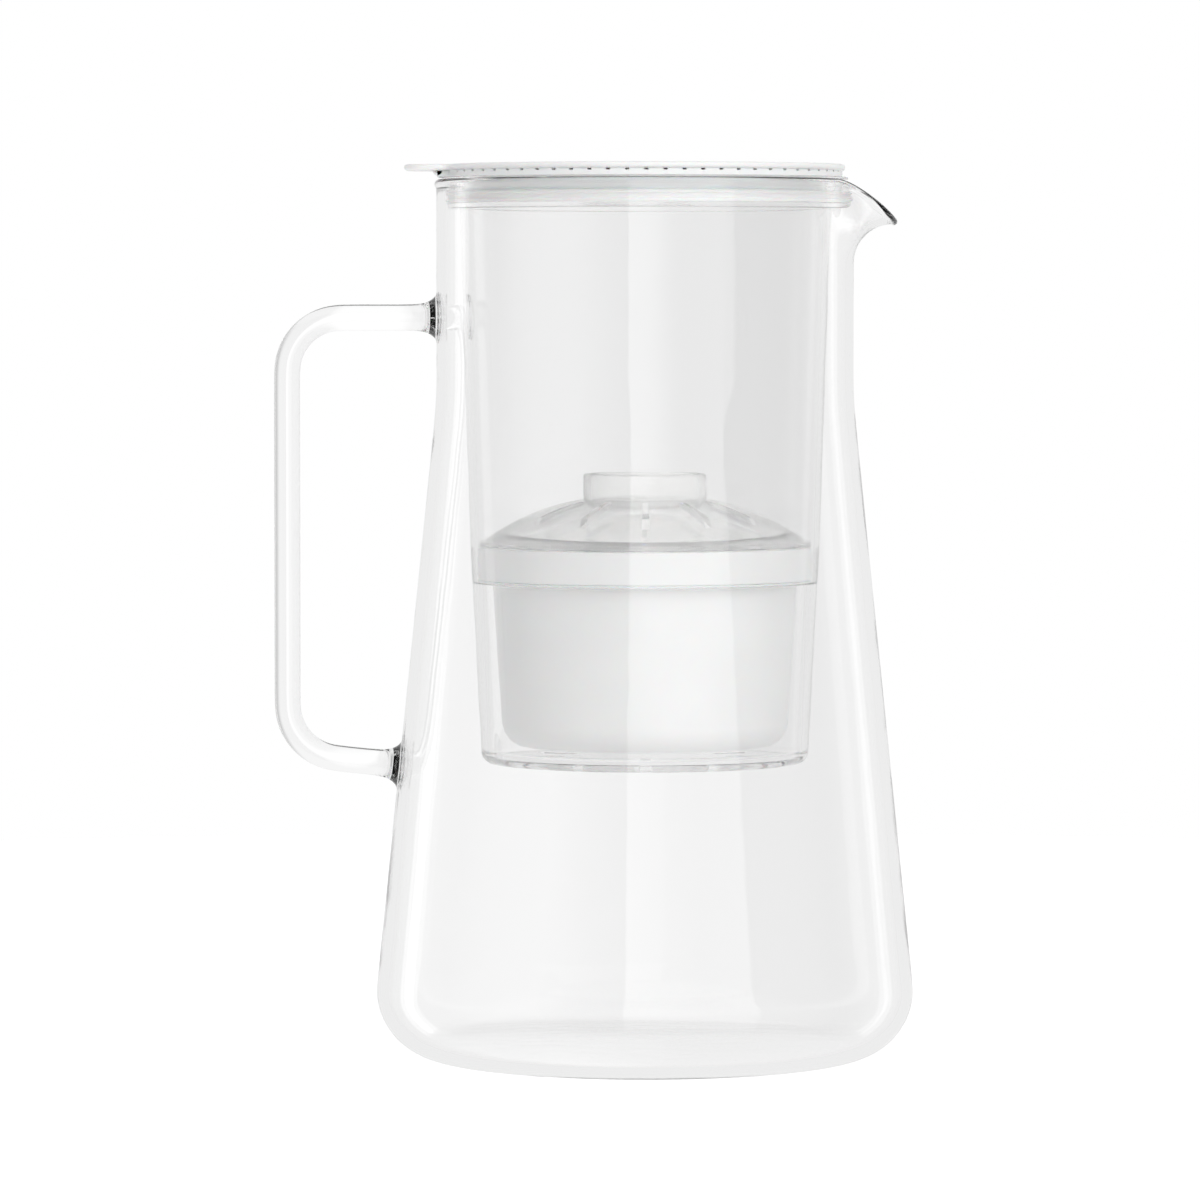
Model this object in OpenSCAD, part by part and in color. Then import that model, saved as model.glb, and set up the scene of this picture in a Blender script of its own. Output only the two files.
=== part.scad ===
// Water filter pitcher: a glass carafe with a spout and a rod handle, a clear reservoir that
// hangs in its neck, a filter cartridge in the reservoir, and a thin lid that flips on a pin.
// Millimetres. The origin is the centre of the base on the ground, +Z is up, the spout
// points along +X and the handle along -X.

/* [Carafe] */
// Height of the glass rim over the ground
rim_z = 260.1; // [255:0.1:270]
// Outside radius of the neck
neck_r = 61.6; // [61:0.1:63]
// Thickness of the glass at the neck
neck_wall = 2.5; // [2.2:0.1:2.5]
// Radius of the flat ground face
base_r = 59.4; // [55:0.1:61]
// Radius of the rounded corner under the flank
corner_r = 20.1; // [15:0.1:24]
// Thickness of the glass floor
floor_t = 3.5; // [2.5:0.1:5]
// Height at which the neck's and the flank's lines cross
neck_foot_z = 195; // [180:1:205]
// Radius of the bend between the neck and the flank
neck_bend_r = 120; // [60:5:150]
// Radius of the round bead along the rim
bead_r = 1.5; // [1.3:0.1:1.6]

/* [Spout] */
// How far the spout bulges out from the neck, without its round edge
lip_reach = 12; // [8:0.1:14]
// How far the spout's edge falls from the rim to the tip
lip_drop = 11.8; // [8:0.1:13]
// Height of the neck that bulges out into the spout
lip_h = 23; // [20:0.1:30]
// Half angle of the spout round the neck, in degrees
lip_half_a = 25; // [18:1:30]
// Share of the wall that is left at the tip
lip_thinning = 0.7; // [0.5:0.05:1]

/* [Handle] */
// Radius of the glass rod
rod_r = 3.85; // [3:0.05:4.5]
// Distance of the grip from the pitcher's axis
grip_x = 105.8; // [95:0.1:115]
// Height of the upper arm
arm_top_z = 219.3; // [210:0.1:230]
// Height of the middle of the lower bend
arm_low_z = 104.8; // [95:0.1:120]
// Radius of the bends, along the middle of the rod
rod_bend_r = 16; // [10:0.5:22]
// Radius of the fused foot where an arm meets the wall
foot_r = 7.8; // [5:0.1:9]
// Length over which the rod swells into its foot
foot_l = 9.5; // [5:0.5:12]

/* [Reservoir] */
// Outside radius of the reservoir under its shoulder
res_top_r = 54.8; // [54.5:0.1:55.5]
// Outside radius at the level of the cartridge's flange
res_seat_r = 51.6; // [51.5:0.1:52.5]
// Outside radius at the bottom
res_low_r = 48.2; // [48:0.1:50]
// Height of the underside
res_z = 87.6; // [85:0.1:88]
// Height of the shoulder under the gasket
shoulder_z = 251.3; // [250.5:0.1:251.5]
// Thickness of the wall and the floor
res_wall = 2.2; // [1.8:0.1:2.3]
// Number of drain slots in the floor
drain_count = 12; // [6:1:16]

/* [Lid] */
// Radius of the lid's disc
lid_r = 59; // [58:0.1:59.2]
// Thickness of the disc
lid_t = 2.5; // [2:0.1:4]
// Distance of the thumb tab's end from the axis
tab_x = 71; // [66:0.5:80]
// Width of the thumb tab
tab_w = 24; // [21:1:30]
// Outside radius of the collar that carries the lid
collar_r = 58.2; // [57.5:0.1:58.4]
// Height of the collar over the reservoir's flange
collar_h = 1.9; // [1.7:0.1:2.2]
// Number of steps of the vents round the collar
vent_steps = 66; // [40:2:72]
// Width of one vent
vent_w = 2; // [1:0.1:2.4]

/* [Cartridge] */
// Radius of the cartridge's flange
flange_r = 49.5; // [48.6:0.1:49.5]
// Height of the flange's underside
flange_z = 141.9; // [141.5:0.1:142.5]
// Height of the flange's rim
flange_h = 9.8; // [8:0.1:12]
// Outside radius of the cup at the flange's underside
cup_r = 45.1; // [44:0.1:45.5]
// How much the cup's wall leans, in degrees
cup_lean = 3.9; // [2:0.1:5]
// Height of the cup's underside
cup_z = 92.7; // [92:0.1:96]
// Radius of the cup's lower corner
cup_corner_r = 7.5; // [5:0.5:9]
// Thickness of the cup's wall
cup_wall = 1.6; // [1.2:0.1:2]
// Height of the dome's crown
crown_z = 166.5; // [164:0.1:168]
// Radius of the dome's arc
dome_r = 67; // [64:0.5:70]
// Thickness of the dome
dome_t = 4.6; // [3:0.1:5]
// Number of inlet slots in the dome
inlet_count = 12; // [6:1:16]

/* [Hidden] */
$fn = 96;
eps = 0.01;

// Points on an arc about c, from angle a0 to a1
function arc(c, r, a0, a1, n = 12) =
  [for (i = [0:n]) let (a = a0 + (a1 - a0) * i / n) c + r * [cos(a), sin(a)]];

// The bead's round section lies between the neck's inside and just past its outside
bead_c = [neck_r - 0.85, rim_z - bead_r];
neck_in_r = neck_r - neck_wall;

// The flank is the tangent from the neck's foot to the corner's circle
function flank_a(nr, cr) =
  asin(cr / norm([nr - base_r, neck_foot_z - corner_r]))
  - atan2(nr - base_r, neck_foot_z - corner_r);
// The height at which the bend has turned the flank upright
function bend_z(a) = neck_foot_z + neck_bend_r * tan(a / 2);
// Levels at which the one piece of glass is divided into nodes
base_top_z = 24;
neck_low_z = 205;
// Outline of the vessel from the axis to the neck, for a neck radius and a corner radius
function vessel(nr, cr) = let (a = flank_a(nr, cr)) concat(
  [[0, corner_r - cr]],
  arc([base_r, corner_r], cr, -90, a, 14),
  arc([nr + neck_bend_r, bend_z(a)], neck_bend_r, 180 + a, 180, 6)
);

// Spout: its share of the full reach at angle a round the neck
lip_z = bead_c[1] - lip_h;
lip_sink = 1.2;                   // overlap with the neck's wall, in mm and in degrees
hair = 0.04;                      // the overlap lies this deep inside the wall
crest_h = 1.1;                    // round edge of the spout, past its shoulder
function lip_share(a) = abs(a) < lip_half_a ? pow(cos(90 * a / lip_half_a), 2) : 0;
function lip_rise(a) = lip_h - lip_drop * pow(lip_share(a), 1.25);
// How far the face leans out from upright at angle a and at step t of the way up
function lip_lean(a, t) = let (f = lip_share(a), q = PI / 2) atan2(
  lip_reach * f * sin(90 * t) * q,
  lip_rise(a) * ((1 - f) + f * cos(90 * t) * q)
);
// A point of the outer face, as [radius, height]
function lip_out(a, t) = let (f = lip_share(a)) [
  neck_r - hair + lip_reach * f * (1 - cos(90 * t)),
  lip_z + lip_rise(a) * ((1 - f) * t + f * sin(90 * t))
];
// The inner face lies one wall away, square to the outer face
function lip_wall(a, t) = (neck_wall - 2 * hair) * (1 - (1 - lip_thinning) * lip_share(a) * t);
// A point at height u over the shoulder and at depth v in the wall there
function lip_crest(a, u, v) = let (b = lip_lean(a, 1))
  lip_out(a, 1) + u * [sin(b), cos(b)] + v * [-cos(b), sin(b)];
function lip_face(a, inside, steps) = concat(
  [[inside ? neck_in_r + hair : neck_r - hair, lip_z - lip_sink]],
  [for (j = [0:steps]) let (t = j / steps, b = lip_lean(a, t))
    lip_out(a, t) + (inside ? lip_wall(a, t) : 0) * [-cos(b), sin(b)]],
  [lip_crest(a, crest_h, inside ? lip_wall(a, 1) - 0.7 : 0.45)]
);
function turned(p, a) = [p[0] * cos(a), p[0] * sin(a), p[1]];

// Handle: the lower arm meets the flank at a right angle
flank_slope = flank_a(neck_r, corner_r);
low_bend = [-grip_x + rod_bend_r, arm_low_z];
low_arm = low_bend + rod_bend_r * [-sin(flank_slope), -cos(flank_slope)];

// Levels of the reservoir and the collar, from the rim down
ring_z = rim_z + 0.5;             // top of the reservoir's flange
hang_r = neck_r - 1.65;           // flange that rests on the bead's inner shoulder
hang_z = rim_z - 0.2;
mouth_r = 54.6;                   // mouth of the reservoir, round the collar's skirt
mouth_z = 253;
throat_r = res_top_r - res_wall;
seat_z = flange_z - 0.7;          // ledge under the cartridge's seal
seat_in_r = 47.7;
bowl_r = flange_r + 0.35;         // wall round the cartridge's flange
gasket_r = neck_in_r - 0.05;
groove_r = 56.9;
rib_r = 58.3;                     // ribs above and below the gasket
groove_z = [252.9, 256.4];

// Collar and hinge
collar_in_r = 53;
skirt_r = mouth_r - 0.15;
skirt_z = mouth_z + 0.3;
lid_z = ring_z + collar_h;        // underside of the lid
vent_h = 0.9;
pin_r = 0.8;
pin_gap = 0.05;
knuckle_r = 1.4;
pin_x = -(neck_r - 0.5);
pin_z = lid_z;                    // the pin lies at the lid's underside
pocket_r = knuckle_r + 0.15;      // room in the lid for the collar's knuckles
knuckle_w = 9;                    // the lid's knuckle
hinge_w = 18;                     // all of the knuckles, and the pin
hinge_gap = 0.2;

// Cartridge
cup_slope = tan(cup_lean);
function cup_out_r(z) = cup_r + cup_slope * (z - flange_z);
cup_top_z = flange_z + flange_h - 1.8;
corner_c = [
  cup_out_r(cup_z + cup_corner_r) - cup_corner_r / cos(cup_lean),
  cup_z + cup_corner_r
];
cup_in_z = cup_z + cup_wall;
function cup_in_r(z) = cup_out_r(z) - cup_wall / cos(cup_lean);
dome_z = flange_z + flange_h;
crown_flat_r = 8;
dome_c = [crown_flat_r, crown_z - dome_r];
function dome_d(r, z) = sqrt(r * r - pow(z - dome_c[1], 2));
grip_r = 18.2;
grip_wall = 2.2;
grip_z = 173.3;

// Levels of what the cup holds, from its floor up
mesh_t = 0.4;
fleece_t = 2.4;
z_out_fleece = cup_in_z + mesh_t;
z_resin = z_out_fleece + fleece_t;
z_screen = z_resin + 23;
z_carbon = z_screen + 0.6;
z_in_fleece = z_carbon + 24;
z_in_mesh = z_in_fleece + fleece_t;
fill_gap = 0.15;

// A solid of revolution from an outline of [radius, height] points
module turn(points) {
  rotate_extrude() polygon(points);
}

// A ring of rectangular section
module ring(r0, r1, z0, z1) {
  turn([[r0, z0], [r1, z0], [r1, z1], [r0, z1]]);
}

// n copies round the axis
module round_about(n, start = 0) {
  for (i = [0:n - 1]) rotate([0, 0, start + 360 * i / n]) children();
}

// ---- Carafe ----

module vessel_outside() {
  turn(concat(vessel(neck_r, corner_r), [[neck_r, rim_z], [0, rim_z]]));
}

module vessel_inside() {
  turn(concat(
    vessel(neck_in_r, corner_r - floor_t),
    [[neck_in_r, rim_z + 5], [0, rim_z + 5]]
  ));
}

// What lies between two levels
module between(z0, z1) {
  intersection() {
    children();
    translate([0, 0, z0]) cylinder(r = neck_r + 40, h = z1 - z0);
  }
}

// The sector of the neck that the spout takes
module spout_sector() {
  rotate([0, 0, -lip_half_a]) rotate_extrude(angle = 2 * lip_half_a)
    translate([neck_in_r - 5, lip_z]) square([25, lip_h + 2 * bead_r]);
}

// The spout's wall: columns of points on both faces, joined into one closed skin
module spout_skin() {
  across = 24;
  up = 9;
  row = up + 3;
  angles = concat(
    [-lip_half_a - lip_sink],
    [for (i = [0:across]) lip_half_a * (2 * i / across - 1)],
    [lip_half_a + lip_sink]
  );
  outer = [for (a = angles) for (p = lip_face(a, false, up)) turned(p, a)];
  inner = [for (a = angles) for (p = lip_face(a, true, up)) turned(p, a)];
  n = len(outer);
  last = n - row;
  function quad(p, q, r, s) = [[p, q, r], [p, r, s]];
  faces = [for (p = [0:n - 1]) let (
      q = p + row,
      in_row = p % row < row - 1,
      in_column = q < n
    ) for (f = concat(
      in_row && in_column ? quad(p, p + 1, q + 1, q) : [],
      in_row && in_column ? quad(n + p, n + q, n + q + 1, n + p + 1) : [],
      p % row == 0 && in_column ? quad(p, q, n + q, n + p) : [],
      p % row == row - 1 && in_column ? quad(p, n + p, n + q, q) : [],
      p < row - 1 ? quad(p, n + p, n + p + 1, p + 1) : [],
      p >= last && in_row ? quad(p, p + 1, n + p + 1, n + p) : []
    )) f];
  polyhedron(concat(outer, inner), faces);
}

module glass_wall() {
  difference() {
    turn(concat(vessel(neck_r, corner_r), [[neck_r, bead_c[1]], [0, bead_c[1]]]));
    vessel_inside();
  }
}

module carafe_base() {
  color([0.86, 0.93, 0.95, 0.35]) between(-1, base_top_z) glass_wall();
}

module carafe_flank() {
  color([0.86, 0.93, 0.95, 0.35]) between(base_top_z, neck_low_z) glass_wall();
}

module carafe_neck() {
  color([0.86, 0.93, 0.95, 0.35]) difference() {
    union() {
      between(neck_low_z, rim_z + 1) glass_wall();
      rotate_extrude() translate(bead_c) circle(r = bead_r);
    }
    spout_sector();
  }
}

module carafe_spout() {
  color([0.86, 0.93, 0.95, 0.35]) intersection() {
    spout_skin();
    spout_sector();
  }
}

// The rod's section, swept round a bend from angle a0 to a1 in the plane of the handle
module rod_bend(c, a0, a1) {
  translate([c[0], 0, c[1]]) rotate([90, 0, 0]) rotate([0, 0, a0])
    rotate_extrude(angle = a1 - a0) translate([rod_bend_r, 0]) circle(r = rod_r);
}

// An arm along +X from the origin, that swells into its foot at the end. It is a hair
// thicker than the bend, and starts inside it, so that the two solids join cleanly.
module rod_arm(l) {
  arm_r = rod_r + 0.04;
  rotate([0, 90, 0]) turn(concat(
    [[0, -0.8], [arm_r, -0.8]],
    [for (i = [0:8]) let (t = i / 8)
      [arm_r + (foot_r - arm_r) * (1 - cos(90 * t)), l - foot_l * (1 - sin(90 * t))]],
    [[foot_r, l + 6], [0, l + 6]]
  ));
}

module carafe_handle() {
  top_bend = [-grip_x + rod_bend_r, arm_top_z - rod_bend_r];
  wall_x = neck_r + 0.5;
  color([0.86, 0.93, 0.95, 0.5]) difference() {
    union() {
      rod_bend(top_bend, 90, 180);
      rod_bend(low_bend, 180, 270 - flank_slope);
      translate([-grip_x, 0, arm_low_z]) cylinder(r = rod_r, h = top_bend[1] - arm_low_z);
      translate([top_bend[0], 0, arm_top_z]) rod_arm(-top_bend[0] - wall_x);
      translate([low_arm[0], 0, low_arm[1]]) rotate([0, flank_slope, 0])
        rod_arm(low_arm_l());
    }
    vessel_outside();
  }
}

// Distance along the lower arm from its bend to the flank
function low_arm_l() = let (
  on_flank = [base_r, corner_r] + corner_r * [cos(flank_slope), sin(flank_slope)],
  p = [-low_arm[0], low_arm[1]] - on_flank
) p[0] * cos(flank_slope) + p[1] * sin(flank_slope) - 0.5;

// ---- Reservoir ----

module reservoir_bucket() {
  foot_corner = 3;
  corner = [res_low_r - foot_corner, res_z + foot_corner];
  color([0.90, 0.93, 0.95, 0.45]) difference() {
    turn(concat(
      [[0, res_z]],
      arc(corner, foot_corner, -90, 0, 6),
      [[res_seat_r, flange_z + flange_h], [res_top_r, shoulder_z], [0, shoulder_z]]
    ));
    turn(concat(
      [[0, res_z + res_wall]],
      arc(corner, foot_corner - res_wall, -90, 0, 4),
      [
        [seat_in_r, seat_z],
        [bowl_r, seat_z], [bowl_r, flange_z + flange_h],
        [throat_r, shoulder_z], [throat_r, shoulder_z + 1], [0, shoulder_z + 1]
      ]
    ));
    round_about(drain_count) translate([24, -1.5, res_z - 1]) cube([12, 3, res_wall + 2]);
  }
}

module reservoir_rim() {
  color([0.90, 0.93, 0.95, 0.45]) turn([
    [throat_r, shoulder_z], [rib_r, shoulder_z],
    [rib_r, groove_z[0]], [groove_r, groove_z[0]],
    [groove_r, groove_z[1]], [rib_r, groove_z[1]],
    [rib_r, hang_z], [hang_r, hang_z],
    [hang_r, ring_z], [mouth_r, ring_z],
    [mouth_r, mouth_z], [throat_r, mouth_z]
  ]);
}

module reservoir_gasket() {
  fin_h = 0.9;
  body_r = gasket_r - 0.7;
  z0 = groove_z[0];
  z1 = groove_z[1];
  color([0.78, 0.80, 0.82]) turn([
    [groove_r, z0], [gasket_r, z0], [gasket_r, z0 + fin_h], [body_r, z0 + fin_h + 0.3],
    [body_r, z1 - fin_h - 0.3], [gasket_r, z1 - fin_h], [gasket_r, z1], [groove_r, z1]
  ]);
}

// ---- Lid ----

module lid_collar() {
  vent_keepout = 14;
  arm_w = (hinge_w - knuckle_w) / 2 - hinge_gap;
  seal_z = [256.2, 257.8];
  color("whitesmoke") difference() {
    union() {
      turn([
        [collar_in_r, skirt_z], [skirt_r, skirt_z],
        [skirt_r, seal_z[0]], [skirt_r - 0.7, seal_z[0]],
        [skirt_r - 0.7, seal_z[1]], [skirt_r, seal_z[1]],
        [skirt_r, ring_z], [collar_r, ring_z], [collar_r, lid_z], [collar_in_r, lid_z]
      ]);
      for (side = [-1, 1])
        translate([0, side * (hinge_w / 2 - arm_w / 2), 0]) {
          translate([pin_x, 0, pin_z]) rotate([90, 0, 0])
            cylinder(r = knuckle_r, h = arm_w, center = true);
          translate([pin_x, -arm_w / 2, ring_z]) cube([4, arm_w, lid_z - 0.1 - ring_z]);
        }
    }
    for (i = [0:vent_steps - 1]) {
      a = 360 * (i + 0.5) / vent_steps;
      if (abs(a - 180) > vent_keepout)
        rotate([0, 0, a]) translate([collar_in_r - 1, -vent_w / 2, lid_z - vent_h])
          cube([collar_r - collar_in_r + 2, vent_w, vent_h + 1]);
    }
    translate([pin_x, 0, pin_z]) rotate([90, 0, 0])
      cylinder(r = pin_r, h = hinge_w + 2, center = true);
  }
}

module collar_seal() {
  color([0.78, 0.80, 0.82])
    ring(skirt_r - 0.7, mouth_r - 0.05, 256.2, 257.8);
}

module hinge_pin() {
  color("silver") translate([pin_x, 0, pin_z]) rotate([90, 0, 0])
    cylinder(r = pin_r, h = hinge_w, center = true);
}

module flip_lid() {
  edge_r = 0.8;
  tip_r = 9;
  skirt = [52, 52.7];
  skirt_l = 1.6;
  color("white") difference() {
    union() {
      turn(concat(
        [[0, lid_z], [lid_r, lid_z]],
        arc([lid_r - edge_r, lid_z + lid_t - edge_r], edge_r, 0, 90, 4),
        [[0, lid_z + lid_t]]
      ));
      // The tab is the disc's own thickness, with round corners at its end
      translate([0, 0, lid_z]) linear_extrude(lid_t - 0.3) union() {
        translate([-tab_x + tip_r, -tab_w / 2]) square([tab_x - tip_r - 50, tab_w]);
        translate([-tab_x, -tab_w / 2 + tip_r]) square([tip_r, tab_w - 2 * tip_r]);
        for (side = [-1, 1])
          translate([-tab_x + tip_r, side * (tab_w / 2 - tip_r)]) circle(r = tip_r);
      }
      ring(skirt[0], skirt[1], lid_z - skirt_l, lid_z + eps);
      translate([pin_x, 0, pin_z]) rotate([90, 0, 0])
        cylinder(r = knuckle_r, h = knuckle_w, center = true);
    }
    translate([pin_x, 0, pin_z]) rotate([90, 0, 0])
      cylinder(r = pin_r + pin_gap, h = knuckle_w + 2, center = true);
    for (side = [-1, 1])
      translate([pin_x, side * (knuckle_w + hinge_w + 2 * hinge_gap) / 4, pin_z]) rotate([90, 0, 0])
        cylinder(r = pocket_r, h = (hinge_w + 2 * hinge_gap - knuckle_w) / 2, center = true);
  }
}

// ---- Cartridge ----

function cup_outline(c, r, z_top, r_top) = concat(
  [[0, c[1] - r]], arc(c, r, -90, -cup_lean, 8), [[r_top, z_top], [0, z_top]]
);

module cup_outside() {
  turn(cup_outline(corner_c, cup_corner_r, cup_top_z, cup_out_r(cup_top_z)));
}

module cartridge_cup() {
  top = cup_top_z + 1;
  color("white") difference() {
    cup_outside();
    turn(cup_outline(corner_c, cup_corner_r - cup_wall, top, cup_in_r(top)));
    round_about(12) translate([10, -1, cup_z - 1]) cube([18, 2, cup_wall + 2]);
  }
}

module cartridge_flange() {
  plate = 1.8;
  rim_r = flange_r - 1.8;
  top_z = flange_z + flange_h;
  color("white") difference() {
    ring(cup_r - 3, flange_r, flange_z, top_z);
    ring(cup_r - 4, rim_r, flange_z + plate, cup_top_z);
    cup_outside();
  }
}

module cartridge_seal() {
  color([0.72, 0.74, 0.76]) ring(seat_in_r + 0.2, flange_r - 0.1, seat_z, flange_z);
}

function dome_outline(rho, z0) = arc(dome_c, rho, 90 - asin(dome_d(rho, z0) / rho), 90, 12);

module dome_outside() {
  turn(concat(
    [[0, dome_z], [flange_r - 0.5, dome_z], [flange_r - 0.5, dome_z + 1.5]],
    dome_outline(dome_r, dome_z + 2),
    [[0, crown_z]]
  ));
}

module cartridge_dome() {
  slot = [14, 2];
  color([0.92, 0.95, 0.97, 0.5]) difference() {
    dome_outside();
    turn(concat(
      [[0, dome_z - 1], [crown_flat_r + dome_d(dome_r - dome_t, dome_z), dome_z - 1]],
      dome_outline(dome_r - dome_t, dome_z),
      [[0, crown_z - dome_t]]
    ));
    round_about(inlet_count) translate([21, -slot[1] / 2, dome_z])
      cube([slot[0], slot[1], crown_z]);
    round_about(3) translate([7, 0, dome_z]) cylinder(r = 1.5, h = crown_z, $fn = 24);
  }
}

module dome_grip() {
  color([0.92, 0.95, 0.97, 0.6]) difference() {
    ring(grip_r - grip_wall, grip_r, crown_z - dome_t + 1, grip_z);
    dome_outside();
  }
}

// A bed that fills the cup between two levels
module bed(z0, z1) {
  turn([
    [0, z0], [cup_in_r(z0) - fill_gap, z0], [cup_in_r(z1) - fill_gap, z1], [0, z1]
  ]);
}

module inlet_mesh() {
  color("lightgray") bed(z_in_mesh, z_in_mesh + mesh_t);
}

module inlet_fleece() {
  color("linen") bed(z_in_fleece, z_in_mesh);
}

module carbon_bed() {
  color([0.13, 0.13, 0.13]) bed(z_carbon, z_in_fleece);
}

module media_screen() {
  color("lightgray") bed(z_screen, z_carbon);
}

module resin_bed() {
  color("wheat") intersection() {
    bed(z_resin, z_screen);
    turn(cup_outline(corner_c, cup_corner_r - cup_wall - fill_gap, z_screen, cup_r));
  }
}

module outlet_fleece() {
  color("linen") translate([0, 0, z_out_fleece]) cylinder(r = corner_c[0] + 1.5, h = fleece_t);
}

module outlet_mesh() {
  color("lightgray") translate([0, 0, cup_in_z]) cylinder(r = corner_c[0] - 0.5, h = mesh_t);
}

carafe_base();
carafe_flank();
carafe_neck();
carafe_spout();
carafe_handle();
reservoir_bucket();
reservoir_rim();
reservoir_gasket();
lid_collar();
collar_seal();
hinge_pin();
flip_lid();
cartridge_cup();
cartridge_flange();
cartridge_seal();
cartridge_dome();
dome_grip();
inlet_mesh();
inlet_fleece();
carbon_bed();
media_screen();
resin_bed();
outlet_fleece();
outlet_mesh();
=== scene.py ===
"""A glass water filter pitcher with a flip lid, dressed for the render round its CAD frame."""

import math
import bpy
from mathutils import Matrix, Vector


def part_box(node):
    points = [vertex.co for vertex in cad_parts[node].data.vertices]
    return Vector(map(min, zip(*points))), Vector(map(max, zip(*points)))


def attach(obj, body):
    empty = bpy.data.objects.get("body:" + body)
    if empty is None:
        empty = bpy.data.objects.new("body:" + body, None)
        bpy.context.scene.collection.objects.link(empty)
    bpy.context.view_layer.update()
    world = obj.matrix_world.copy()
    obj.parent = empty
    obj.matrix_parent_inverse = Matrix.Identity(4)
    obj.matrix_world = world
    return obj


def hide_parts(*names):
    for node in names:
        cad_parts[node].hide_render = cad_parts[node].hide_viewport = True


bl_info = {
    "name": "Water Filter Pitcher",
    "version": (1, 0, 0),
    "blender": (4, 5, 0),
    "location": "3D View > Sidebar > Pitcher",
    "description": "Builds a glass pitcher with a hanging reservoir, a filter cartridge and a flip lid",
    "category": "Add Mesh",
}

from functools import cache
from types import SimpleNamespace

import bmesh
import bpy
from bpy.props import FloatProperty, FloatVectorProperty, IntProperty, PointerProperty
from mathutils import Matrix, Vector

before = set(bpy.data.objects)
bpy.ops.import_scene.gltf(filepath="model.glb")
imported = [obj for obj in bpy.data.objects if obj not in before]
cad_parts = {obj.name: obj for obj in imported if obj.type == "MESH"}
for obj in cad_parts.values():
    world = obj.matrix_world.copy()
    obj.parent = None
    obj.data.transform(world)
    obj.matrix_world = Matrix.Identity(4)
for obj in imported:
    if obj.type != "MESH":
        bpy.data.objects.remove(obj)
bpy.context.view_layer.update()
MM = 0.001
ROUND = 2 * math.pi
RIM_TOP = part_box("carafe_neck")[1].z
BUCKET_LOW, BUCKET_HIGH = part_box("reservoir_bucket")
COLLAR_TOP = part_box("lid_collar")[1].z
TAB_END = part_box("flip_lid")[0].x
CUP_LOW, CUP_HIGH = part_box("cartridge_cup")
BAND_LOW, BAND_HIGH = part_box("cartridge_flange")
DOME_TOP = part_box("cartridge_dome")[1].z
GRIP_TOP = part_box("dome_grip")[1].z

# Places in millimetres that more than one piece keeps to
RESERVOIR_OVER_RIM = 0.5  # the reservoir's flange over the glass, where the collar stands
GROOVE_RADIUS, GROOVE_LOW, GROOVE_HIGH = 56.9, 252.9, 256.4  # the gasket's groove
LEDGE = 141.2  # the reservoir's ledge under the cartridge
KNUCKLE_SIDE, KNUCKLE_WIDTH = 6.85, 4.3  # the collar's knuckles, on both sides of the lid's
CUP_DRAFT = math.radians(3.9)


# ---------------------------------------------------------------- sizes and colours


def length(name, default, description):
    return FloatProperty(
        name=name, default=default, description=description, unit="LENGTH", precision=4, min=0
    )


def light(name, default, description):
    return FloatProperty(name=name, default=default, description=description, min=0)


def number(name, default, least, description):
    return IntProperty(name=name, default=default, description=description, min=least)


def colour(name, default, description):
    return FloatVectorProperty(
        name=name, default=default, description=description, subtype="COLOR", size=3, min=0, max=1
    )


class CarafeSizes(bpy.types.PropertyGroup):
    rim_height: length("Rim height", RIM_TOP, "Height of the glass rim over the ground")
    neck_radius: length("Neck radius", 0.0616, "Outside radius of the neck")
    wall: length("Wall", 0.0025, "Thickness of the glass")
    base_radius: length("Base radius", 0.0594, "Radius of the flat ground face")
    corner_radius: length("Corner radius", 0.0201, "Rounded corner under the flank")
    floor: length("Floor", 0.0035, "Thickness of the glass floor")
    neck_foot: length("Neck foot", 0.195, "Height at which the lines of neck and flank cross")
    neck_bend: length("Neck bend", 0.12, "Radius of the bend between neck and flank")
    bead: length("Rim bead", 0.0015, "Radius of the fire-polished bead")
    punt: length("Punt", 0.0005, "Rise of the underside towards its middle")
    spout_reach: length("Spout reach", 0.012, "How far the spout bulges out from the neck")
    spout_drop: length("Spout drop", 0.0118, "Fall of the edge from the rim to the tip")
    spout_height: length("Spout height", 0.023, "Height of the neck that bulges out")
    spout_half_angle: FloatProperty(
        name="Spout half angle", default=math.radians(25), subtype="ANGLE", unit="ROTATION",
        description="Half of the spout's angle round the neck",
    )
    columns: number("Columns", 144, 72, "Faces round the vessel before smoothing")


class HandleSizes(bpy.types.PropertyGroup):
    rod_radius: length("Rod radius", 0.00385, "Radius of the glass rod")
    grip_distance: length("Grip distance", 0.1058, "Distance of the grip from the axis")
    upper_arm: length("Upper arm", 0.2193, "Height of the upper arm")
    lower_bend: length("Lower bend", 0.1048, "Height of the middle of the lower bend")
    bend: length("Bend radius", 0.016, "Radius of both bends along the rod's middle")
    foot_radius: length("Foot radius", 0.0084, "Radius of the fused foot on the wall")
    foot_length: length("Foot length", 0.0065, "Length over which the rod swells")


class ReservoirSizes(bpy.types.PropertyGroup):
    underside: length("Underside", BUCKET_LOW.z, "Height of the underside")
    shoulder: length("Shoulder", BUCKET_HIGH.z, "Height of the shoulder under the gasket")
    top_radius: length("Top radius", 0.0548, "Outside radius under the shoulder")
    seat_radius: length("Seat radius", 0.0516, "Outside radius at the cartridge's flange")
    low_radius: length("Low radius", 0.0482, "Outside radius at the bottom")
    wall: length("Wall", 0.0022, "Thickness of wall and floor")
    drains: number("Drain slots", 12, 3, "Slots in the floor")


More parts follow.
